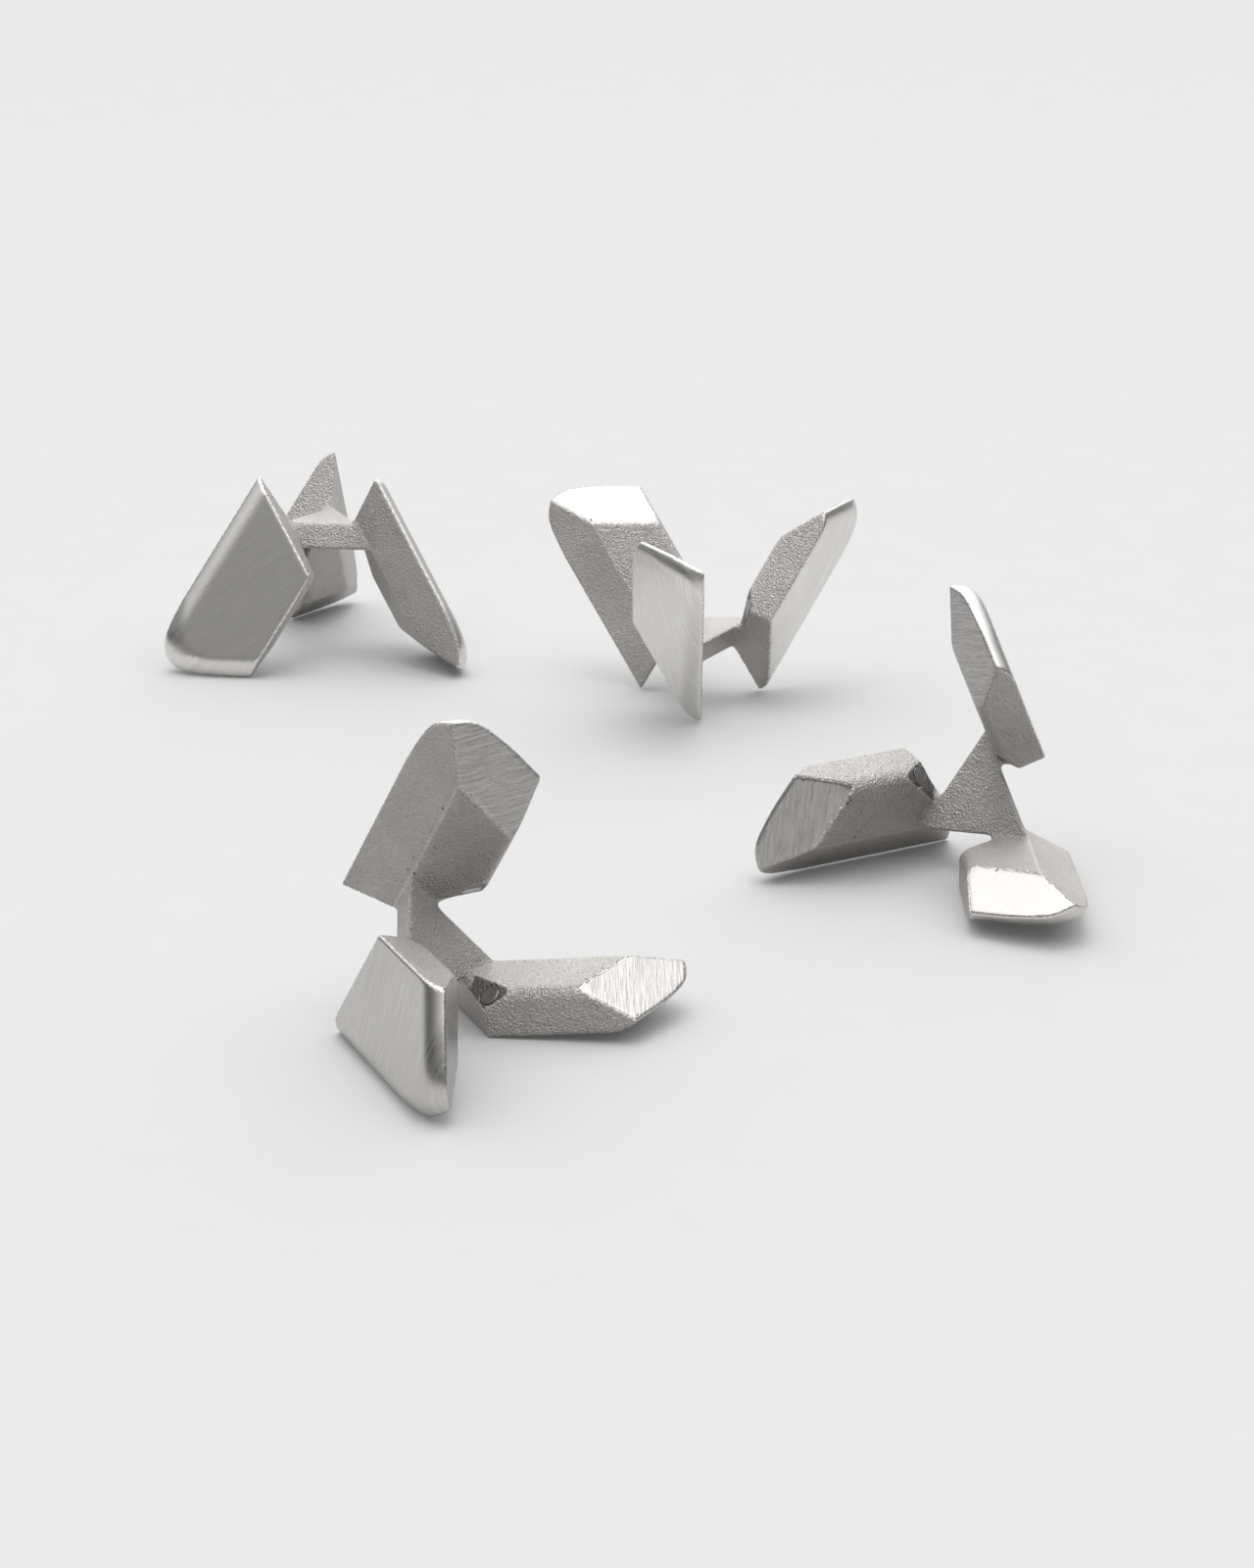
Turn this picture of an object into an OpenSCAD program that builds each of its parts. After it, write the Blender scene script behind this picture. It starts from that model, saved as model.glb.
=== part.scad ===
// Magnetic desk sculpture: four identical cast pieces that close into one rounded tetrahedron.
// Each piece is one casting of three blades on a small triangular web, with three disc magnets.
// Millimetres, +Z up. The origin is on the desk, in the middle of the four pieces.

/* [Tetrahedron] */
// Edge of the closed tetrahedron, measured to its sharp corners
edge = 70; // [60:1:90]
// Radius along the outer edges
edge_round = 4.4; // [3:0.1:5]
// How far each rounded outer corner stops short of its sharp corner
tip_cut = 11.6; // [11:0.1:12]
// Radius of the ball that rounds each outer corner
tip_round = 9; // [8.8:0.1:9.6]

/* [Blades] */
// Thickness of a blade, from its outer face to its inner face
blade_depth = 6.8; // [6:0.1:7.2]
// Lean of the two inner side walls away from square, in degrees
wall_lean = 3; // [1:1:8]
// Radius of the long inner ridge beside the side wall
ridge_round = 1.7; // [1.5:0.1:2.2]

/* [Web] */
// Height of the web, from its flat underside to its flat top
web_height = 4.3; // [3.5:0.1:5]
// Radius of the hollow corner where the web runs into a blade
web_fillet = 1.5; // [0.8:0.1:1.5]

/* [Magnets] */
// Diameter of a disc magnet
magnet_d = 3; // [2.4:0.1:3.2]
// Thickness of a disc magnet
magnet_t = 1.5; // [1:0.1:2]
// Glue gap around a magnet
magnet_gap = 0.05; // [0.02:0.01:0.1]
// How deep the flat seat for a magnet cuts into the inner corner of a blade
seat_depth = 2.1; // [2:0.1:2.4]

/* [Layout on the desk] */
// Turn of the standing piece about the vertical, in degrees
standing_turn = -6.6; // [-180:0.1:180]
// Place of the standing piece, left to right
standing_x = -46.1; // [-50:0.1:-44]
// Place of the standing piece, front to back
standing_y = 88.1; // [86:0.1:92]
// Turn of the inverted piece about the vertical, in degrees
inverted_turn = 120; // [-180:0.1:180]
// Place of the inverted piece, left to right
inverted_x = 19.2; // [17:0.1:24]
// Place of the inverted piece, front to back
inverted_y = 59; // [57:0.1:62]
// Turn of the right lying piece about the vertical, in degrees
right_turn = 179.7; // [-180:0.1:180]
// Place of the right lying piece, left to right
right_x = 56; // [54:0.1:60]
// Place of the right lying piece, front to back
right_y = -30.3; // [-34:0.1:-28]
// Turn of the front lying piece about the vertical, in degrees
front_turn = -96.8; // [-180:0.1:180]
// Place of the front lying piece, left to right
front_x = -11.8; // [-16:0.1:-8]
// Place of the front lying piece, front to back
front_y = -87.9; // [-92:0.1:-84]

/* [Hidden] */
$fn = 64;

color_steel = [0.66, 0.65, 0.63];
color_magnet = [0.55, 0.55, 0.57];

function unit(v) = v / norm(v);

// The frame of one piece: the centre of the tetrahedron at the origin, its own corner straight up
in_radius = edge * sqrt(1 / 24);
corner_up = [0, 0, 3 * in_radius];
function base_corner(angle) = [edge / sqrt(3) * cos(angle), edge / sqrt(3) * sin(angle), -in_radius];
corner_low = base_corner(-150);
corner_next = base_corner(-30);

// The frame of one blade: x across its outer face, y inward, z along its long edge
blade_z = unit(corner_up - corner_low);
blade_y = unit(cross(corner_up - corner_low, corner_next - corner_low));
blade_x = cross(blade_y, blade_z);

// How far a rounding and the web's sides stand proud, so that every face crosses the next at an angle
proud = 0.03;

// In the blade frame
third = edge / 3;
half_dihedral = asin(sqrt(1 / 3));
blade_w = third * sin(60);
corner_a = [0, 0, 2 * third];
corner_b = [blade_w, 0, 1.5 * third];
corner_c = [blade_w, 0, 0.5 * third];
centre = [blade_w, in_radius, 1.5 * third];
crest = edge_round / sin(half_dihedral) - edge_round - proud;
end_plane = unit(cross(centre, corner_c));
top_dir = unit(corner_b - corner_a);
top_out = [0.5, 0, sqrt(3) / 2];
lean_x = blade_depth * tan(wall_lean);
ridge_x = blade_depth / tan(half_dihedral);
inner_b = [
    blade_w - lean_x,
    blade_depth,
    1.5 * third + (blade_depth * tan(wall_lean) + 0.5 * lean_x) * 2 / sqrt(3)
];
big = 3 * edge;

// Magnet seats
seat_out = unit([0.6, 1, 0.55]);
seat_point = inner_b - seat_out * seat_depth;
seat_shift = [-0.29, 0.2, -0.04] * seat_depth;
magnet_point = seat_point + seat_shift - seat_out * (seat_shift * seat_out);

// Web
web_low = in_radius - blade_depth;

// Turns the z axis to the direction
module turn_to(direction) {
    d = unit(direction);
    rotate([0, acos(d.z), atan2(d.y, d.x)])
        children();
}

// A block that fills the side that the direction points to, from the point on
module beyond(point, direction) {
    translate(point)
        turn_to(direction)
            translate([-big / 2, -big / 2, 0])
                cube(big);
}

// What a radius takes off a sharp edge: the wedge outside a long cylinder
module edge_cutter(point, edge_dir, into, half_angle, radius) {
    b = unit(into);
    depth = radius / sin(half_angle);
    difference() {
        beyond(point + b * (depth - radius * sin(half_angle)), -b);
        translate(point + b * depth)
            turn_to(edge_dir)
                cylinder(r = radius + proud, h = 2 * big, center = true);
    }
}

// What the ball takes off the low corner of a blade
module tip_cutter() {
    axis = unit(centre);
    ball = tip_cut + tip_round;
    reach = ball * sin(half_dihedral) - crest;
    difference() {
        beyond(axis * (ball - reach * sin(half_dihedral)), -axis);
        translate(axis * ball)
            sphere(r = tip_round);
    }
}

// Puts what is drawn in the blade frame onto the piece
module blade_frame() {
    multmatrix([
        [blade_x.x, blade_y.x, blade_z.x, corner_low.x],
        [blade_x.y, blade_y.y, blade_z.y, corner_low.y],
        [blade_x.z, blade_y.z, blade_z.z, corner_low.z],
        [0, 0, 0, 1]
    ])
        children();
}

// One blade, in the blade frame: a bar cut at both ends, with its outer edges rounded
module blade() {
    side_half = (90 + wall_lean) / 2;
    difference() {
        linear_extrude(3 * third)
            polygon([[0, 0], [blade_w, 0], [blade_w - lean_x, blade_depth], [ridge_x, blade_depth]]);
        beyond([0, 0, 0], end_plane);
        beyond(corner_b, [top_out.x * cos(wall_lean), -sin(wall_lean), top_out.z * cos(wall_lean)]);
        edge_cutter([0, 0, 0], [0, 0, 1], [cos(half_dihedral), sin(half_dihedral), 0],
            half_dihedral, edge_round);
        edge_cutter([0, 0, 0], corner_c, centre - corner_c * (centre * corner_c) / (corner_c * corner_c),
            half_dihedral, edge_round);
        edge_cutter([blade_w - lean_x, blade_depth, 0], [0, 0, 1],
            [-1 + sin(wall_lean), -cos(wall_lean), 0], side_half, ridge_round);
        tip_cutter();
        beyond(seat_point, seat_out);
    }
}

// The hollow corner between the web and the top wall of a blade, in the blade frame
module hollow_corner() {
    air_half = (90 + wall_lean) / 2;
    reach = web_fillet / tan(air_half);
    root = 0.4;
    middle = web_fillet / sin(air_half);
    multmatrix([
        [top_out.x, 0, top_dir.x, inner_b.x],
        [0, -1, 0, inner_b.y],
        [top_out.z, 0, top_dir.z, inner_b.z],
        [0, 0, 0, 1]
    ])
        translate([0, 0, -blade_w])
            linear_extrude(1.1 * blade_w)
                difference() {
                    polygon([
                        [-root, -root],
                        [reach, -root],
                        [reach, 0],
                        middle * [cos(air_half), sin(air_half)],
                        reach * [-sin(wall_lean), cos(wall_lean)],
                        reach * [-sin(wall_lean), cos(wall_lean)] - [root, 0]
                    ]);
                    translate(middle * [cos(air_half), sin(air_half)])
                        circle(r = web_fillet + proud);
                }
}

module web_slab() {
    translate([0, 0, web_low])
        cylinder(r = edge / 3, h = web_height);
}

// The web: a slab cut by the planes of the three inner faces, with its hollow corners
module web() {
    difference() {
        web_slab();
        for (turn = [0, 120, 240])
            rotate(turn)
                blade_frame()
                    beyond([0, blade_depth - proud, 0], [0, -1, 0]);
    }
    for (turn = [0, 120, 240])
        intersection() {
            web_slab();
            rotate(turn)
                blade_frame()
                    difference() {
                        hollow_corner();
                        beyond([ridge_x, blade_depth, 0], [-sin(half_dihedral), cos(half_dihedral), 0]);
                    }
        }
}

// One piece, in its own frame, with its magnet pockets
module casting() {
    color(color_steel)
        difference() {
            union() {
                for (turn = [0, 120, 240])
                    rotate(turn)
                        blade_frame()
                            blade();
                web();
            }
            for (turn = [0, 120, 240])
                rotate(turn)
                    blade_frame()
                        translate(magnet_point - seat_out * magnet_t)
                            turn_to(seat_out)
                                cylinder(d = magnet_d + 2 * magnet_gap, h = 2 * magnet_t);
        }
}

// One magnet, in the frame of its piece
module magnet(number) {
    color(color_magnet)
        rotate(120 * (number - 1))
            blade_frame()
                translate(magnet_point - seat_out * magnet_t)
                    turn_to(seat_out)
                        cylinder(d = magnet_d, h = magnet_t);
}

// Places: each one rests a piece on the desk, turns it and puts it where it lies
// The standing piece rests on the rounded edges of its three wide ends
module place_standing() {
    translate([standing_x, standing_y, in_radius - crest * sin(half_dihedral)])
        rotate(standing_turn)
            children();
}

// The inverted piece rests on the points of its three blades
module place_inverted() {
    crest_point = crest * [cos(half_dihedral), sin(half_dihedral)];
    wall = (crest_point.y * tan(wall_lean) + 0.5 * (blade_w - crest_point.x)) * 2 / sqrt(3);
    point = [crest_point.x, crest_point.y, 1.5 * third + wall];
    up = [blade_x.z, blade_y.z, blade_z.z];
    translate([inverted_x, inverted_y, corner_low.z + up * point])
        rotate(inverted_turn)
            rotate([180, 0, 0])
                children();
}

// A lying piece rests on the top line of one blade and rolls onto the rounded long edge of the next
module lie() {
    roll = atan(crest * sin(half_dihedral) / (blade_w - crest * cos(half_dihedral)));
    rotate(a = roll, v = [cos(30), sin(30), 0])
        rotate([90, 0, 0])
            translate(-corner_b)
                multmatrix([
                    [blade_x.x, blade_x.y, blade_x.z, -blade_x * corner_low],
                    [blade_y.x, blade_y.y, blade_y.z, -blade_y * corner_low],
                    [blade_z.x, blade_z.y, blade_z.z, -blade_z * corner_low],
                    [0, 0, 0, 1]
                ])
                    rotate(-120)
                        children();
}

module place_right() {
    translate([right_x, right_y, 0])
        rotate(right_turn)
            lie()
                children();
}

module place_front() {
    translate([front_x, front_y, 0])
        rotate(front_turn)
            lie()
                children();
}

place_standing() casting();  // casting_standing
place_standing() magnet(1);  // magnet_standing_1
place_standing() magnet(2);  // magnet_standing_2
place_standing() magnet(3);  // magnet_standing_3
place_inverted() casting();  // casting_inverted
place_inverted() magnet(1);  // magnet_inverted_1
place_inverted() magnet(2);  // magnet_inverted_2
place_inverted() magnet(3);  // magnet_inverted_3
place_right() casting();  // casting_right
place_right() magnet(1);  // magnet_right_1
place_right() magnet(2);  // magnet_right_2
place_right() magnet(3);  // magnet_right_3
place_front() casting();  // casting_front
place_front() magnet(1);  // magnet_front_1
place_front() magnet(2);  // magnet_front_2
place_front() magnet(3);  // magnet_front_3
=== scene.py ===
"""Magnetic desk sculpture: four identical brushed steel castings with disc magnets, apart on a pale floor.

Each casting is three blades on a small triangular web. Its finished mesh is drawn once, from the planes
and roundings of the closed tetrahedron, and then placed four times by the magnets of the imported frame.
"""
import math

import bpy
import numpy as np
from mathutils import Matrix, Vector, noise


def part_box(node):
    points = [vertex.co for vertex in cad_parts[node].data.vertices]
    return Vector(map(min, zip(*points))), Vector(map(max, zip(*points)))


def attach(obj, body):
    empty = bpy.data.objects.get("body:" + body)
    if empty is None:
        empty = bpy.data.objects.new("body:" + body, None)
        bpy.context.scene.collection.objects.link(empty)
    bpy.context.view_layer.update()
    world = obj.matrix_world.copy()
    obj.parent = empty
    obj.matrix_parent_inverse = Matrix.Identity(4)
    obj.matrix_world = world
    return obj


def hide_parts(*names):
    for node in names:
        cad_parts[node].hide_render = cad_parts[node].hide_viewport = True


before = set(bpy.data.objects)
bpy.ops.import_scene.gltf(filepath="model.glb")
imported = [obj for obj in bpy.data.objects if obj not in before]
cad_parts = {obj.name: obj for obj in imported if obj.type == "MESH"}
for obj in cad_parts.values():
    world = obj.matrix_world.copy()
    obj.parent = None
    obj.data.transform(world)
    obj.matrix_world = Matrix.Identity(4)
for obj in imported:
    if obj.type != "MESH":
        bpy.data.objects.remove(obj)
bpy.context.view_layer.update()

PIECES = ("standing", "inverted", "right", "front")
BODY = {"standing": "root", "inverted": "inverted", "right": "right", "front": "front"}

# ---------------------------------------------------------------- sizes, in metres
EDGE = 0.070
EDGE_ROUND = 0.0044
TIP_CUT = 0.0116
TIP_ROUND = 0.009
BLADE_DEPTH = 0.0068
WALL_LEAN = math.radians(3)
RIDGE_ROUND = 0.0017
WEB_HEIGHT = 0.0043
WEB_FILLET = 0.0026
MAGNET_RADIUS = 0.0015
MAGNET_THICK = 0.0015
MAGNET_GAP = 0.00005
SEAT_DEPTH = 0.0021

# Softness that casting and tumbling leave on the edges
CREASE = 0.0004
SEAT_CREASE = 0.0002
WEB_CREASE = 0.0006
# How softly the ball at the tip runs into the outer face, and how wide its cone opens
TIP_BLEND = 0.0016
TIP_OPEN = math.radians(50)

# Size of a mesh cell
CELL = 0.0004
# Millimetres in a metre: the finishes are measured in millimetres
MM = 1000


def unit(v):
    v = np.asarray(v, float)
    return v / np.linalg.norm(v)


# ---------------------------------------------------------------- the frame of a piece and of its blades
THIRD = EDGE / 3
IN_RADIUS = EDGE * math.sqrt(1 / 24)
HALF_DIHEDRAL = math.asin(math.sqrt(1 / 3))
SIN_H = math.sin(HALF_DIHEDRAL)
COS_H = math.cos(HALF_DIHEDRAL)


def base_corner(angle):
    a = math.radians(angle)
    return np.array([EDGE / math.sqrt(3) * math.cos(a), EDGE / math.sqrt(3) * math.sin(a), -IN_RADIUS])


CORNER_UP = np.array([0, 0, 3 * IN_RADIUS])
CORNER_LOW = base_corner(-150)
CORNER_NEXT = base_corner(-30)
BLADE_Z = unit(CORNER_UP - CORNER_LOW)
BLADE_Y = unit(np.cross(CORNER_UP - CORNER_LOW, CORNER_NEXT - CORNER_LOW))
BLADE_X = np.cross(BLADE_Y, BLADE_Z)
BLADE_AXES = np.array([BLADE_X, BLADE_Y, BLADE_Z])


def turn_about_axis(number):
    """The turn that takes blade 1 of a piece to the given blade."""
    a = math.radians(120 * (number - 1))
    return np.array([[math.cos(a), -math.sin(a), 0], [math.sin(a), math.cos(a), 0], [0, 0, 1]])


def to_blade(points, number):
    """Piece points in the frame of one blade: x across its outer face, y inward, z along its long edge."""
    return (points @ turn_about_axis(number) - CORNER_LOW) @ BLADE_AXES.T


def from_blade(points, number):
    return (np.asarray(points) @ BLADE_AXES + CORNER_LOW) @ turn_about_axis(number).T


# Points and directions in the frame of a blade
BLADE_W = THIRD * math.sin(math.radians(60))
CORNER_B = np.array([BLADE_W, 0, 1.5 * THIRD])
CORNER_C = np.array([BLADE_W, 0, 0.5 * THIRD])
CENTRE = np.array([BLADE_W, IN_RADIUS, 1.5 * THIRD])
LEAN_X = BLADE_DEPTH * math.tan(WALL_LEAN)
OUTER = np.array([0, -1, 0])
SPLIT = np.array([-SIN_H, COS_H, 0])
END = unit(np.cross(CENTRE, CORNER_C))
INNER = np.array([0, 1, 0])
SIDE = np.array([math.cos(WALL_LEAN), math.sin(WALL_LEAN), 0])
TOP_OUT = np.array([0.5, 0, math.sqrt(3) / 2])
TOP = np.array([TOP_OUT[0] * math.cos(WALL_LEAN), -math.sin(WALL_LEAN), TOP_OUT[2] * math.cos(WALL_LEAN)])
INNER_B = np.array([
    BLADE_W - LEAN_X,
    BLADE_DEPTH,
    1.5 * THIRD + (BLADE_DEPTH * math.tan(WALL_LEAN) + 0.5 * LEAN_X) * 2 / math.sqrt(3),
])
SEAT = unit([0.6, 1, 0.55])
SEAT_POINT = INNER_B - SEAT * SEAT_DEPTH
SEAT_SHIFT = np.array([-0.29, 0.2, -0.04]) * SEAT_DEPTH
MAGNET_POINT = SEAT_POINT + SEAT_SHIFT - SEAT * (SEAT_SHIFT @ SEAT)
WEB_LOW = IN_RADIUS - BLADE_DEPTH

# ---------------------------------------------------------------- the surface of a piece
# The sides of a piece, in the order of the distances below
KINDS = ("outer", "split", "end", "inner", "side", "top", "seat", "pocket", "web")
NORMALS = {"outer": OUTER, "split": SPLIT, "end": END, "inner": INNER, "side": SIDE, "top": TOP}


def round_intersection(distances, radius):
    """What lies inside every surface, with its edges rounded."""
    stacked = np.stack(distances)
    over = np.maximum(stacked + radius, 0)
    return np.minimum(stacked.max(0), -radius) + np.sqrt((over ** 2).sum(0))


def round_union(first, second, radius):
    """What lies inside either solid, with the corner between them filled."""
    under = np.sqrt(np.maximum(radius - first, 0) ** 2 + np.maximum(radius - second, 0) ** 2)
    return np.maximum(np.minimum(first, second), radius) - under


def rounded_edge(q, direction, normal, mirror):
    """Two outer planes of the closed tetrahedron that meet in an edge through the blade's low corner."""
    n1 = normal
    n2 = normal - 2 * (normal @ mirror) * mirror
    inward = -unit(n1 + n2)
    p = q - inward * (EDGE_ROUND / SIN_H)
    p = p - np.outer(p @ direction, direction)
    a1 = p @ n1
    a2 = p @ n2
    c = n1 @ n2
    between = (a1 > c * a2) & (a2 > c * a1)
    return np.where(between, np.sqrt((p ** 2).sum(1)), np.maximum(a1, a2)) - EDGE_ROUND


def rounded_tip(q):
    """The ball that rounds the low corner of a blade, and the wide cone that runs on from it."""
    axis = unit(CENTRE)
    p = q - axis * (TIP_CUT + TIP_ROUND)
    along = p @ axis
    radial = np.sqrt(np.maximum((p ** 2).sum(1) - along ** 2, 0))
    on_ball = radial * math.sin(TIP_OPEN) < -along * math.cos(TIP_OPEN)
    cone = radial * math.cos(TIP_OPEN) - along * math.sin(TIP_OPEN)
    return np.where(on_ball, np.hypot(radial, along), cone) - TIP_ROUND


def blade_sides(q):
    """Signed distances to the sides of a blade, in the order of KINDS."""
    edges = np.maximum(
        rounded_edge(q, np.array([0, 0, 1]), OUTER, SPLIT),
        rounded_edge(q, unit(CORNER_C), OUTER, END),
    )
    p = q - MAGNET_POINT
    along = p @ SEAT
    radial = np.sqrt(np.maximum((p ** 2).sum(1) - along ** 2, 0))
    pocket = np.minimum(along + MAGNET_THICK, MAGNET_RADIUS + MAGNET_GAP - radial)
    return [
        round_intersection([edges, rounded_tip(q)], TIP_BLEND),
        q @ SPLIT,
        q @ END,
        q[:, 1] - BLADE_DEPTH,
        (q - CORNER_B) @ SIDE,
        (q - CORNER_B) @ TOP,
        (q - SEAT_POINT) @ SEAT,
        pocket,
    ]


def blade_surface(sides):
    outer, split, end, inner, side, top, seat, pocket = sides
    ridge = round_intersection([inner, side], RIDGE_ROUND)
    body = round_intersection([outer, split, end, ridge, top], CREASE)
    return np.maximum(round_intersection([body, seat], SEAT_CREASE), pocket)


def surface(points):
    """Signed distance to a piece, and for each point the number of its nearest blade."""
    sides = [blade_sides(to_blade(points, number)) for number in (1, 2, 3)]
    blades = np.stack([blade_surface(s) for s in sides])
    inner = [-s[3] for s in sides]
    slab = [WEB_LOW - points[:, 2], points[:, 2] - WEB_LOW - WEB_HEIGHT]
    web = round_intersection(inner + slab, CREASE)
    nearest = blades.argmin(0)
    over_top = np.choose(nearest, [s[5] - s[3] for s in sides])
    share = np.clip(over_top / (2 * WEB_FILLET) + 0.5, 0, 1)
    fillet = WEB_CREASE + (WEB_FILLET - WEB_CREASE) * share
    return round_union(blades.min(0), web, fillet), nearest, sides, web


def surface_distance(points):
    return surface(points)[0]


# ---------------------------------------------------------------- the mesh of a piece
# The box that holds a piece, and how many cells a block of the grid has along each side
LOWEST = np.array([-0.033, -0.033, -IN_RADIUS])
HIGHEST = np.array([0.033, 0.033, 0.026])
BLOCK = 12


def sample_grid():
    """Distances on a grid of cells; away from the surface only the sign is kept."""
    blocks = np.ceil((HIGHEST - LOWEST) / (BLOCK * CELL)).astype(int) + 1
    shape = blocks * BLOCK
    start = LOWEST - CELL * 0.37
    values = np.ones(shape)
    centres = np.stack(np.meshgrid(*[np.arange(n) for n in blocks], indexing="ij"), -1).reshape(-1, 3)
    half = BLOCK * CELL / 2
    rough = surface_distance(start + (centres + 0.5) * BLOCK * CELL)
    near = np.abs(rough) < 2 * half * math.sqrt(3)
    inside = np.stack(np.meshgrid(*[np.arange(BLOCK)] * 3, indexing="ij"), -1).reshape(-1, 3)
    for block, near_surface, value in zip(centres, near, rough):
        x, y, z = block * BLOCK
        if near_surface:
            cells = start + (block * BLOCK + inside) * CELL
            values[x:x + BLOCK, y:y + BLOCK, z:z + BLOCK] = surface_distance(cells).reshape([BLOCK] * 3)
        else:
            values[x:x + BLOCK, y:y + BLOCK, z:z + BLOCK] = value
    return values, start


def surface_net(values, start):
    """One point in each cell that the surface crosses, and one quad round each grid edge that it crosses."""
    solid = values < 0
    corners = [
        solid[i:solid.shape[0] - 1 + i, j:solid.shape[1] - 1 + j, k:solid.shape[2] - 1 + k]
        for i in (0, 1) for j in (0, 1) for k in (0, 1)
    ]
    count = np.sum(corners, axis=0)
    mixed = (count > 0) & (count < 8)
    index = np.full(mixed.shape, -1)
    index[mixed] = np.arange(mixed.sum())
    points = start + (np.argwhere(mixed) + 0.5) * CELL
    quads = []
    for axis in range(3):
        low = np.take(solid, range(solid.shape[axis] - 1), axis)
        high = np.take(solid, range(1, solid.shape[axis]), axis)
        b, c = (axis + 1) % 3, (axis + 2) % 3
        for crossing, flip in ((low & ~high, False), (~low & high, True)):
            cells = np.argwhere(crossing)
            step_b = np.eye(3, dtype=int)[b]
            step_c = np.eye(3, dtype=int)[c]
            ring = [cells - step_b - step_c, cells - step_c, cells, cells - step_b]
            quad = np.stack([index[tuple(r.T)] for r in ring], 1)
            quads.append(quad[:, ::-1] if flip else quad)
    return points, np.concatenate(quads)


def slope(points):
    """The gradient of the surface distance."""
    small = 0.00002
    steps = [np.eye(3)[i] * small for i in range(3)]
    rises = [surface_distance(points + step) - surface_distance(points - step) for step in steps]
    return np.stack(rises, 1) / (2 * small)


def settle(points, quads, rounds=4):
    """Spreads the points evenly over the surface and brings them exactly onto it."""
    ends = np.concatenate([quads[:, [0, 1]], quads[:, [1, 2]], quads[:, [2, 3]], quads[:, [3, 0]]])
    reach = np.bincount(ends[:, 0], minlength=len(points))[:, None]
    for turn in range(rounds):
        if turn:
            around = points[ends[:, 1]]
            total = np.stack([np.bincount(ends[:, 0], around[:, i], len(points)) for i in range(3)], 1)
            points = points + 0.5 * (total / reach - points)
        for _ in range(2):
            g = slope(points)
            length = (g ** 2).sum(1)
            step = surface_distance(points) / np.maximum(length, 0.25)
            points = points - np.clip(step, -CELL, CELL)[:, None] * g
    return points


cell_values, cell_start = sample_grid()
piece_points, piece_quads = surface_net(cell_values, cell_start)
piece_points = settle(piece_points, piece_quads)
print("casting mesh:", len(piece_points), "points", len(piece_quads), "quads")


# ---------------------------------------------------------------- where the pieces are
def magnet_centre(node):
    low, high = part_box(node)
    return (np.array(low) + np.array(high)) / 2


def frame_from(a, b, c):
    """A right-handed frame on three points."""
    x = unit(b - a)
    z = unit(np.cross(b - a, c - a))
    return np.array([x, np.cross(z, x), z]).T, (a + b + c) / 3


def piece_place(piece):
    """The place of a piece, from its three magnets."""
    own = [from_blade(MAGNET_POINT - SEAT * MAGNET_THICK / 2, n) for n in (1, 2, 3)]
    seen = [magnet_centre(f"magnet_{piece}_{n}") for n in (1, 2, 3)]
    own_axes, own_middle = frame_from(*own)
    seen_axes, seen_middle = frame_from(*seen)
    turn = seen_axes @ own_axes.T
    place = Matrix(turn.tolist()).to_4x4()
    place.translation = Vector(seen_middle - turn @ own_middle)
    return place


PLACES = {piece: piece_place(piece) for piece in PIECES}


# ---------------------------------------------------------------- finishes and painted shade, as facts of each face
# The x of a finish marks a brushed face, and its z the wall of a magnet's pocket, which is painted dark:
# painted shade
BRUSHED = (1, 0, 0)
CAST = (0, 0, 0)
POCKET_SHADE = (0, 0, 1)
FINISH = {"outer": BRUSHED, "pocket": POCKET_SHADE}

# The way the last tool ran over the outer faces and over the ends of the blades, in the frame of the scene
BRUSH_RUN = {
    "standing": (0.8, 0, 0.6),
    "inverted": (0.2, 0, 1),
    "right": (1, 0.3, 0.1),
    "front": (0.15, 0, 1),
}
GRIND_RUN = {("front", 1): (1, 0, 0.12), ("front", 2): (-0.12, 1, 0.3), ("right", 1): (1, 0, 0.12)}
PLAIN_GRIND = (0.1, 0, 1)
# How deep the scratches of the grinding are. The ends that lie level are given shallow, faint scratches, so
# that they come out lighter: painted light where their glare hides the scratches
SHALLOW_LIT_GRIND = 0.15
SMOOTH_LIT_ENDS = (("inverted", 1), ("inverted", 2), ("inverted", 3), ("right", 2))
# Painted shade on the brushed faces of each piece: the same brushing, painted a little darker on the right
# piece and more on the front one
BRUSH_SHADE_OF_PIECE = {"standing": 1.0, "inverted": 1.0, "right": 0.95, "front": 0.78}
# How far the unevenness of a casting reaches in
CAST_WAVE = 0.00003
# How far off its plane a point still counts as on the flat seat of a magnet
SEAT_NEAR = 0.00009
# How fine the unevenness of a casting is, in waves to the metre
WAVE_SCALE = 600
# Steps that keep the grain of one face apart from that of the next, in millimetres
FACE_STEP = 13.0
BLADE_STEP = 5.0


def side_values(points):
    """For each point: its blade, the side it is on, how far the next side is, and all its distances."""
    _, nearest, sides, web = surface(points)
    number = np.arange(len(points))
    stacked = np.stack([np.stack(s) for s in sides])[nearest, :, number]
    kind = stacked.argmax(1)
    top_two = np.sort(stacked, 1)[:, -2:]
    on_web = web < stacked.max(1) - 0.5 * WEB_CREASE
    kind[on_web] = KINDS.index("web")
    gap = top_two[:, 1] - top_two[:, 0]
    gap[on_web] = 1
    return nearest, kind, gap, stacked


def grain_frame(piece, blade, kind):
    """Across and along the grain of one face, in the frame of the piece."""
    normal = NORMALS.get(kind, SEAT) @ BLADE_AXES @ turn_about_axis(blade).T
    run = GRIND_RUN.get((piece, blade), PLAIN_GRIND) if kind == "end" else BRUSH_RUN[piece]
    run = np.array(PLACES[piece].to_3x3().inverted() @ Vector(run))
    along = unit(run - normal * (run @ normal))
    return np.cross(normal, along), along


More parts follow.
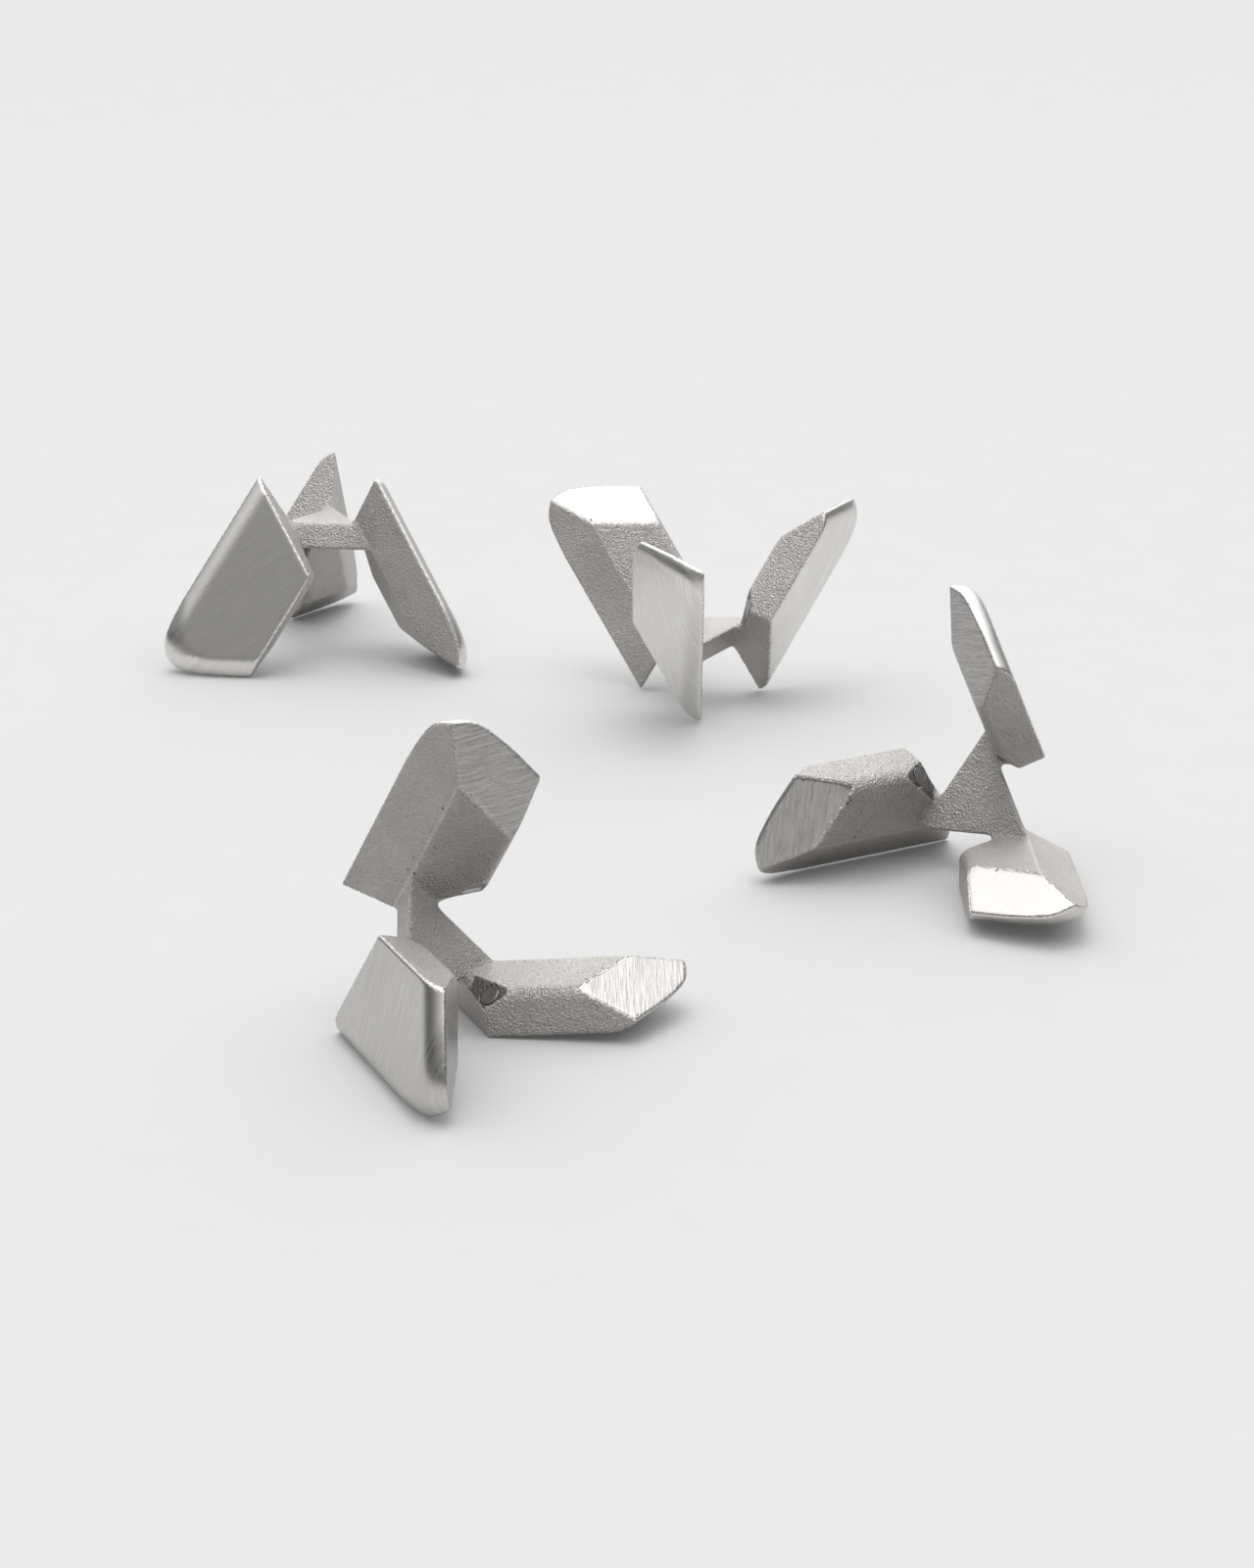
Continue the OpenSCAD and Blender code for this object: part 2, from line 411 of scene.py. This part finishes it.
def add_vectors(mesh, name, values, domain):
    layer = mesh.attributes.new(name, "FLOAT_VECTOR", domain)
    layer.data.foreach_set("vector", np.ascontiguousarray(values, dtype=np.float32).ravel())


def add_numbers(mesh, name, values, domain):
    layer = mesh.attributes.new(name, "FLOAT", domain)
    layer.data.foreach_set("value", np.ascontiguousarray(values, dtype=np.float32))


def waves(points, offset):
    """The gentle unevenness of a casting."""
    return np.array([noise.fractal(Vector(p) * WAVE_SCALE + offset, 1.0, 2.0, 3) for p in points])


def casting(piece):
    """One casting, with what its finishes need to know kept on its faces and points."""
    offset = Vector((7.1, 3.3, 1.7)) * PIECES.index(piece)
    nearest, kind, gap, stacked = side_values(piece_points)
    normals = slope(piece_points)
    normals /= np.linalg.norm(normals, axis=1)[:, None]
    rough = np.isin(kind, [KINDS.index(k) for k in ("split", "inner", "side", "top", "web")])
    inner_ward = -np.abs(waves(piece_points, offset)) * CAST_WAVE * rough
    points = piece_points + normals * inner_ward[:, None]

    mesh = bpy.data.meshes.new("casting_" + piece)
    mesh.from_pydata(points.tolist(), [], piece_quads.tolist())
    mesh.polygons.foreach_set("use_smooth", [True] * len(mesh.polygons))

    middles = np.zeros(len(mesh.polygons) * 3)
    mesh.polygons.foreach_get("center", middles)
    face_blade, face_kind = side_values(middles.reshape(-1, 3))[:2]
    loop_point = np.zeros(len(mesh.loops), dtype=int)
    mesh.loops.foreach_get("vertex_index", loop_point)
    loop_face = np.repeat(np.arange(len(mesh.polygons)), 4)
    loop_at = points[loop_point]
    grain = np.zeros((len(mesh.loops), 3))
    finish_and_shade = np.zeros((len(mesh.loops), 3))
    for blade in (1, 2, 3):
        for index, name in enumerate(KINDS):
            pick = ((face_blade == blade - 1) & (face_kind == index))[loop_face]
            across, along = grain_frame(piece, blade, name)
            at = loop_at[pick] * MM
            level = np.full(len(at), FACE_STEP * index + BLADE_STEP * blade)
            grain[pick] = np.stack([at @ across, at @ along, level], 1)
            finish_and_shade[pick] = FINISH.get(name, CAST)
    add_vectors(mesh, "grain", grain, "CORNER")
    add_vectors(mesh, "finish_and_shade", finish_and_shade, "CORNER")
    add_vectors(mesh, "cast", points * MM + np.array(offset), "POINT")
    add_numbers(mesh, "gap", np.minimum(gap * MM, 4), "POINT")
    # The attribute tone carries the painted shade of each piece's brushing
    add_numbers(mesh, "tone", np.full(len(points), BRUSH_SHADE_OF_PIECE[piece]), "POINT")
    # The seat facet of each magnet is marked, for the painted shade on it
    others = np.delete(stacked, KINDS.index("seat"), 1).max(1)
    seat = stacked[:, KINDS.index("seat")]
    on_seat_shade = np.minimum(seat - others, SEAT_NEAR - np.abs(seat))
    add_numbers(mesh, "seat", np.clip(on_seat_shade * MM, -1, 1), "POINT")
    # Shallow, faint scratches on the ends that lie level: painted light
    depth = [SHALLOW_LIT_GRIND if (piece, blade) in SMOOTH_LIT_ENDS else 1 for blade in (1, 2, 3)]
    add_numbers(mesh, "scratch", np.choose(nearest, depth), "POINT")
    beside_end = [KINDS.index(k) for k in ("split", "inner", "side")]
    ground = stacked[:, KINDS.index("end")] - stacked[:, beside_end].max(1)
    add_numbers(mesh, "ground", np.clip(ground * MM, -2, 2), "POINT")

    mesh.transform(PLACES[piece])
    piece_object = bpy.data.objects.new("steel_" + piece, mesh)
    bpy.context.scene.collection.objects.link(piece_object)
    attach(piece_object, BODY[piece])
    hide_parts("casting_" + piece)
    return piece_object


# ---------------------------------------------------------------- the magnets
def turned_disc(name, profile, segments=48):
    """A solid turned about Z from a profile of (radius, height) points that starts and ends on the axis."""
    rings = profile[1:-1]
    points = [(0, 0, profile[0][1])]
    for radius, height in rings:
        for i in range(segments):
            a = 2 * math.pi * i / segments
            points.append((radius * math.cos(a), radius * math.sin(a), height))
    points.append((0, 0, profile[-1][1]))
    last = len(points) - 1
    faces = []
    for i in range(segments):
        j = (i + 1) % segments
        faces.append((0, 1 + j, 1 + i))
        for ring in range(len(rings) - 1):
            low = 1 + ring * segments
            high = low + segments
            faces.append((low + i, low + j, high + j, high + i))
        top = 1 + (len(rings) - 1) * segments
        faces.append((top + i, top + j, last))
    mesh = bpy.data.meshes.new(name)
    mesh.from_pydata(points, [], faces)
    mesh.polygons.foreach_set("use_smooth", [True] * len(mesh.polygons))
    return mesh


def magnet(piece, number):
    """A plated disc magnet: rounded rims, and a face that is very slightly dished."""
    r, t, rim = MAGNET_RADIUS, MAGNET_THICK, 0.00016
    arc = [math.radians(a) for a in (0, 22.5, 45, 67.5, 90)]
    low = [(r - rim + rim * math.sin(a), -t + rim - rim * math.cos(a)) for a in arc]
    high = [(r - rim + rim * math.cos(a), -rim + rim * math.sin(a)) for a in arc]
    dish = [(r * 0.7, -0.00002), (r * 0.35, -0.00003), (0, -0.00003)]
    mesh = turned_disc(f"magnet_{piece}_{number}", [(0, -t), (r * 0.5, -t)] + low + high + dish)
    add_vectors(mesh, "own", [v.co * MM for v in mesh.vertices], "POINT")
    normal = Vector(SEAT @ BLADE_AXES @ turn_about_axis(number).T)
    stand = normal.to_track_quat("Z", "Y").to_matrix().to_4x4()
    stand.translation = Vector(from_blade(MAGNET_POINT, number))
    mesh.transform(PLACES[piece] @ stand)
    disc = bpy.data.objects.new(f"disc_{piece}_{number}", mesh)
    bpy.context.scene.collection.objects.link(disc)
    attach(disc, BODY[piece])
    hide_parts(f"magnet_{piece}_{number}")
    return disc


# ---------------------------------------------------------------- materials
def add(tree, kind, inputs=None, **settings):
    """A node with its settings, and its inputs set to values or linked to sockets."""
    made = tree.nodes.new("ShaderNode" + kind)
    for name, value in settings.items():
        setattr(made, name, value)
    for key, value in (inputs or {}).items():
        if isinstance(value, bpy.types.NodeSocket):
            tree.links.new(value, made.inputs[key])
        else:
            made.inputs[key].default_value = value
    return made


def math_node(tree, operation, *values, clamp=False):
    made = add(tree, "Math", dict(enumerate(values)), operation=operation, use_clamp=clamp)
    return made.outputs[0]


def noise_of(tree, vector, scale, detail=2.0, roughness=0.5, distortion=0.0):
    return add(tree, "TexNoise", {
        "Vector": vector, "Scale": scale, "Detail": detail, "Roughness": roughness, "Distortion": distortion,
    }).outputs["Fac"]


def stretched(tree, vector, scale):
    return add(tree, "VectorMath", {0: vector, 1: scale}, operation="MULTIPLY").outputs[0]


def fit(tree, value, low, high, to_low=0.0, to_high=1.0):
    made = add(tree, "MapRange", {
        "Value": value, "From Min": low, "From Max": high, "To Min": to_low, "To Max": to_high})
    return made.outputs[0]


def mix_number(tree, share, first, second):
    return add(tree, "Mix", {0: share, 2: first, 3: second}, data_type="FLOAT").outputs[0]


def mix_colour(tree, share, first, second, blend="MIX"):
    return add(tree, "Mix", {0: share, 6: first, 7: second}, data_type="RGBA", blend_type=blend).outputs[2]


def new_material(name):
    material = bpy.data.materials.new(name)
    material.use_nodes = True
    tree = material.node_tree
    shader = tree.nodes["Principled BSDF"]
    return material, tree, shader


CAST_COLOUR = (0.53, 0.508, 0.49, 1)
CAST_CLOUD_COLOUR = (0.47, 0.45, 0.43, 1)
# Painted shade for the hollows of the orange peel
CAST_HOLLOW_SHADE_COLOUR = (0.30, 0.29, 0.28, 1)
BRUSHED_COLOUR = (0.80, 0.785, 0.76, 1)
BRUSH_LINE_COLOUR = (0.60, 0.585, 0.56, 1)
BRUSH_BAND_COLOUR = (0.70, 0.68, 0.65, 1)
GROUND_COLOUR = (0.49, 0.476, 0.462, 1)
SCRATCH_COLOUR = (0.30, 0.29, 0.28, 1)
# Painted shade: the seat facets and the pocket walls of the magnets are painted dark
SEAT_SHADE_COLOUR = (0.16, 0.155, 0.15, 1)
# Worn edges, brightened further by a painted highlight
EDGE_WEAR_AND_HIGHLIGHT_COLOUR = (0.90, 0.89, 0.87, 1)
# Painted shade in the casting pits
PIT_SHADE_COLOUR = (0.10, 0.095, 0.09, 1)
# The magnets are painted darker than nickel: partly their plating, partly painted shade
MAGNET_COLOUR_AND_SHADE = (0.24, 0.235, 0.23, 1)
MAGNET_CLOUD_COLOUR_AND_SHADE = (0.19, 0.185, 0.18, 1)

# How deep each relief is, in metres
CAST_RELIEF = 0.00048
BRUSH_RELIEF = 0.000018
SCRATCH_RELIEF = 0.00013
FINE_SCRATCH_RELIEF = 0.000005
PIT_RELIEF = 0.0001
MAGNET_RELIEF = 0.000004


def steel_material():
    """Cast steel: an orange-peel skin, brushed outer faces, coarsely ground ends, and edges bright from wear
    and a painted highlight; the hollows, pits and magnet seats are painted dark as shade.
    """
    material, tree, shader = new_material("cast_and_brushed_steel")
    shader.inputs["Metallic"].default_value = 1

    cast = add(tree, "Attribute", attribute_name="cast").outputs["Vector"]
    grain = add(tree, "Attribute", attribute_name="grain").outputs["Vector"]
    finish_and_shade = add(tree, "Attribute", attribute_name="finish_and_shade").outputs["Vector"]
    gap = add(tree, "Attribute", attribute_name="gap").outputs["Fac"]
    ground_side = add(tree, "Attribute", attribute_name="ground").outputs["Fac"]
    parts = add(tree, "SeparateXYZ", {0: finish_and_shade}).outputs
    brushed = parts[0]
    # The seat facets and the pocket walls, marked for the painted shade
    on_seat_shade = fit(tree, add(tree, "Attribute", attribute_name="seat").outputs["Fac"], -0.04, 0.04)
    seat = math_node(tree, "MAXIMUM", parts[2], on_seat_shade)

    # The border of the ground ends is ragged
    ragged = noise_of(tree, cast, 1.4, 3.0)
    border = math_node(tree, "ADD", ground_side, fit(tree, ragged, 0.3, 0.7, -0.16, 0.16))
    not_brushed = math_node(tree, "SUBTRACT", 1.0, brushed)
    ground = math_node(tree, "MULTIPLY", fit(tree, border, -0.12, 0.12), not_brushed)

    # Orange peel
    peel = noise_of(tree, cast, 3.0, 2.0, 0.5, 0.2)
    fine_peel = noise_of(tree, cast, 7.0, 2.0, 0.5)
    cloud = noise_of(tree, cast, 0.11, 3.0)
    skin = math_node(tree, "ADD", peel, math_node(tree, "MULTIPLY", fine_peel, 0.35))

    # Brushing: long fine lines, and broader faint bands
    lines = noise_of(tree, stretched(tree, grain, (4.5, 0.10, 1.0)), 1.0, 3.0, 0.65)
    bands = noise_of(tree, stretched(tree, grain, (0.9, 0.05, 1.0)), 1.0, 2.0)

    # Grinding: coarse scratches that waver, broken up along their length
    sway = add(tree, "TexNoise", {"Vector": grain, "Scale": 0.12}).outputs["Color"]
    waver = add(tree, "VectorMath", {
        0: stretched(tree, grain, (2.6, 0.16, 1.0)),
        1: stretched(tree, sway, (3.4, 0.0, 0.0)),
    }, operation="ADD").outputs[0]
    scratches = noise_of(tree, waver, 1.0, 4.0, 0.7)
    fine_scratches = noise_of(tree, stretched(tree, grain, (11.0, 0.5, 1.0)), 1.0, 2.0, 0.6)

    # Edges: bright where a face ends, partly wear and partly a painted highlight, with a few casting pits
    # beside them, painted dark as shade
    uneven_gap = math_node(tree, "ADD", gap, fit(tree, fine_peel, 0.3, 0.7, -0.05, 0.05))
    worn_edge_highlight = fit(tree, uneven_gap, 0.0, 0.2, 1.0, 0.0)
    pit_noise = add(tree, "TexVoronoi", {"Vector": cast, "Scale": 0.8}).outputs["Distance"]
    pit_place = fit(tree, noise_of(tree, cast, 0.35), 0.56, 0.62)
    near_edge = fit(tree, gap, 0.3, 1.3, 1.0, 0.0)
    pits = math_node(tree, "MULTIPLY", fit(tree, pit_noise, 0.10, 0.24, 1.0, 0.0), pit_place)
    pits = math_node(tree, "MULTIPLY", pits, math_node(tree, "MULTIPLY", near_edge, not_brushed))

    # Colour
    cast_tone = mix_colour(tree, fit(tree, cloud, 0.35, 0.65), CAST_COLOUR, CAST_CLOUD_COLOUR)
    # The hollows of the orange peel are painted darker: painted shade in the hollows of the skin
    painted_hollow_shade = fit(tree, peel, 0.34, 0.56, 0.35, 0.0)
    cast_tone = mix_colour(tree, painted_hollow_shade, cast_tone, CAST_HOLLOW_SHADE_COLOUR)
    line_share = fit(tree, lines, 0.38, 0.62, 0.0, 0.6)
    brushed_tone = mix_colour(tree, line_share, BRUSHED_COLOUR, BRUSH_LINE_COLOUR)
    band_share = fit(tree, bands, 0.4, 0.65, 0.0, 0.35)
    brushed_tone = mix_colour(tree, band_share, brushed_tone, BRUSH_BAND_COLOUR)
    # Painted shade: the brushing of some pieces is darkened by a factor kept on each point
    painted_shade_of_piece = add(tree, "Attribute", attribute_name="tone").outputs["Fac"]
    brushed_tone = add(tree, "VectorMath", {
        0: brushed_tone, "Scale": painted_shade_of_piece,
    }, operation="SCALE").outputs[0]
    # On the ends that lie level the dark scratches are kept faint: painted light
    scratch_depth = add(tree, "Attribute", attribute_name="scratch").outputs["Fac"]
    scratch_dark = math_node(tree, "MULTIPLY", fit(tree, scratches, 0.40, 0.56, 0.6, 0.0), scratch_depth)
    ground_tone = mix_colour(tree, scratch_dark, GROUND_COLOUR, SCRATCH_COLOUR)
    tone = mix_colour(tree, brushed, cast_tone, brushed_tone)
    tone = mix_colour(tree, ground, tone, ground_tone)
    # Painted shade on the seat facets and the pocket walls
    tone = mix_colour(tree, seat, tone, SEAT_SHADE_COLOUR)
    # Worn edges, brightened further by a painted highlight
    tone = mix_colour(tree, math_node(tree, "MULTIPLY", worn_edge_highlight, 0.4), tone, EDGE_WEAR_AND_HIGHLIGHT_COLOUR)
    # The casting pits are painted dark: painted shade in them
    tone = mix_colour(tree, pits, tone, PIT_SHADE_COLOUR)
    tree.links.new(tone, shader.inputs["Base Color"])

    # Roughness
    cast_rough = fit(tree, fine_peel, 0.3, 0.7, 0.34, 0.46)
    brushed_rough = fit(tree, lines, 0.3, 0.7, 0.26, 0.38)
    ground_rough = fit(tree, fine_scratches, 0.3, 0.7, 0.24, 0.36)
    rough = mix_number(tree, brushed, cast_rough, brushed_rough)
    rough = mix_number(tree, ground, rough, ground_rough)
    rough = mix_number(tree, math_node(tree, "MULTIPLY", worn_edge_highlight, 0.5), rough, 0.28)
    tree.links.new(rough, shader.inputs["Roughness"])

    # Relief
    cast_relief = math_node(tree, "MULTIPLY", skin, CAST_RELIEF)
    brushed_relief = math_node(tree, "MULTIPLY", lines, BRUSH_RELIEF)
    scratch_relief = math_node(tree, "MULTIPLY", scratches, SCRATCH_RELIEF)
    scratch_relief = math_node(tree, "MULTIPLY", scratch_relief, scratch_depth)
    fine_relief = math_node(tree, "MULTIPLY", fine_scratches, FINE_SCRATCH_RELIEF)
    ground_relief = math_node(tree, "ADD", scratch_relief, fine_relief)
    relief = mix_number(tree, brushed, cast_relief, brushed_relief)
    relief = mix_number(tree, ground, relief, ground_relief)
    relief = math_node(tree, "SUBTRACT", relief, math_node(tree, "MULTIPLY", pits, PIT_RELIEF))
    bump = add(tree, "Bump", {"Height": relief, "Distance": 1.0, "Strength": 1.0})
    tree.links.new(bump.outputs["Normal"], shader.inputs["Normal"])
    return material


def magnet_material():
    """Nickel plating, turned on its face, painted much darker than nickel as shade, to match the shaded seat
    around it.
    """
    material, tree, shader = new_material("plated_magnet")
    shader.inputs["Metallic"].default_value = 1
    place = add(tree, "Attribute", attribute_name="own").outputs["Vector"]
    flat = stretched(tree, place, (1.0, 1.0, 0.0))
    radius = add(tree, "VectorMath", {0: flat}, operation="LENGTH").outputs["Value"]
    rings = noise_of(tree, add(tree, "CombineXYZ", {0: radius}).outputs[0], 14.0, 2.0)
    cloud = noise_of(tree, place, 1.1, 3.0)
    tone = mix_colour(tree, fit(tree, cloud, 0.35, 0.65), MAGNET_COLOUR_AND_SHADE, MAGNET_CLOUD_COLOUR_AND_SHADE)
    tree.links.new(tone, shader.inputs["Base Color"])
    tree.links.new(fit(tree, rings, 0.3, 0.7, 0.22, 0.34), shader.inputs["Roughness"])
    relief = math_node(tree, "MULTIPLY", rings, MAGNET_RELIEF)
    bump = add(tree, "Bump", {"Height": relief, "Distance": 1.0})
    tree.links.new(bump.outputs["Normal"], shader.inputs["Normal"])
    return material


STEEL = steel_material()
MAGNET = magnet_material()
for piece in PIECES:
    casting(piece).data.materials.append(STEEL)
    for number in (1, 2, 3):
        magnet(piece, number).data.materials.append(MAGNET)

# ---------------------------------------------------------------- the floor
FLOOR_SIZE = 8.0
FLOOR_COLOUR = (0.462, 0.462, 0.462, 1)
FLOOR_SPECK_COLOUR = (0.467, 0.467, 0.467, 1)
# The sheet glows a little, so that its shadows stay pale
FLOOR_GLOW = 0.05


def floor():
    mesh = bpy.data.meshes.new("floor")
    h = FLOOR_SIZE / 2
    mesh.from_pydata([(-h, -h, 0), (h, -h, 0), (h, h, 0), (-h, h, 0)], [], [(0, 1, 2, 3)])
    sheet = bpy.data.objects.new("floor", mesh)
    bpy.context.scene.collection.objects.link(sheet)
    material, tree, shader = new_material("pale_floor")
    place = add(tree, "TexCoord").outputs["Object"]
    speck = noise_of(tree, place, 90.0, 2.0)
    tone = mix_colour(tree, fit(tree, speck, 0.3, 0.7), FLOOR_COLOUR, FLOOR_SPECK_COLOUR)
    tree.links.new(tone, shader.inputs["Base Color"])
    shader.inputs["Roughness"].default_value = 0.9
    shader.inputs["Emission Color"].default_value = (1, 1, 1, 1)
    shader.inputs["Emission Strength"].default_value = FLOOR_GLOW
    shader.inputs["Specular IOR Level"].default_value = 0.0
    mesh.materials.append(material)


# ---------------------------------------------------------------- the light
def studio():
    """A pale room: bright overhead and behind the pieces, dim towards the viewer and low at the sides."""
    world = bpy.data.worlds.new("studio")
    bpy.context.scene.world = world
    world.use_nodes = True
    tree = world.node_tree
    direction = add(tree, "TexCoord").outputs["Generated"]
    parts = add(tree, "SeparateXYZ", {0: direction}).outputs
    lean = math_node(tree, "ADD", math_node(tree, "MULTIPLY", parts[1], 0.6),
                     math_node(tree, "MULTIPLY", parts[2], 1.5))
    wall = fit(tree, lean, 0.25, 1.0, 0.20, 1.8)
    # Black flags low on the left and on the right
    aside = math_node(tree, "SUBTRACT", math_node(tree, "ABSOLUTE", parts[0]), parts[2])
    flag = fit(tree, aside, 0.1, 0.5, 1.0, 0.2)
    ceiling = fit(tree, parts[2], 0.75, 0.97, 0.0, 0.45)
    strength = math_node(tree, "ADD", math_node(tree, "MULTIPLY", wall, flag), ceiling)
    background = tree.nodes["Background"]
    background.inputs["Color"].default_value = (1, 1, 1, 1)
    tree.links.new(strength, background.inputs["Strength"])


def soft_light(name, place, target, size, power):
    data = bpy.data.lights.new(name, "AREA")
    data.shape = "SQUARE"
    data.size = size
    data.energy = power
    lamp = bpy.data.objects.new(name, data)
    bpy.context.scene.collection.objects.link(lamp)
    lamp.location = place
    lamp.rotation_euler = (Vector(target) - Vector(place)).to_track_quat("-Z", "Y").to_euler()


# ---------------------------------------------------------------- the camera
CAMERA_PLACE = (0.0068, -0.5762, 0.2065)
CAMERA_PITCH = math.radians(-19.22)
FOCAL_MM = 90.3


def camera():
    data = bpy.data.cameras.new("camera")
    data.sensor_fit = "AUTO"
    data.sensor_width = 36
    data.lens = FOCAL_MM
    data.clip_start = 0.01
    eye = bpy.data.objects.new("camera", data)
    bpy.context.scene.collection.objects.link(eye)
    eye.location = CAMERA_PLACE
    eye.rotation_euler = (math.pi / 2 + CAMERA_PITCH, 0, 0)
    bpy.context.scene.camera = eye


floor()
studio()
soft_light("overhead", (0.1, 0.1, 2.2), (0, 0, 0), 1.2, 12.0)
camera()
bpy.context.scene.view_settings.view_transform = "Standard"
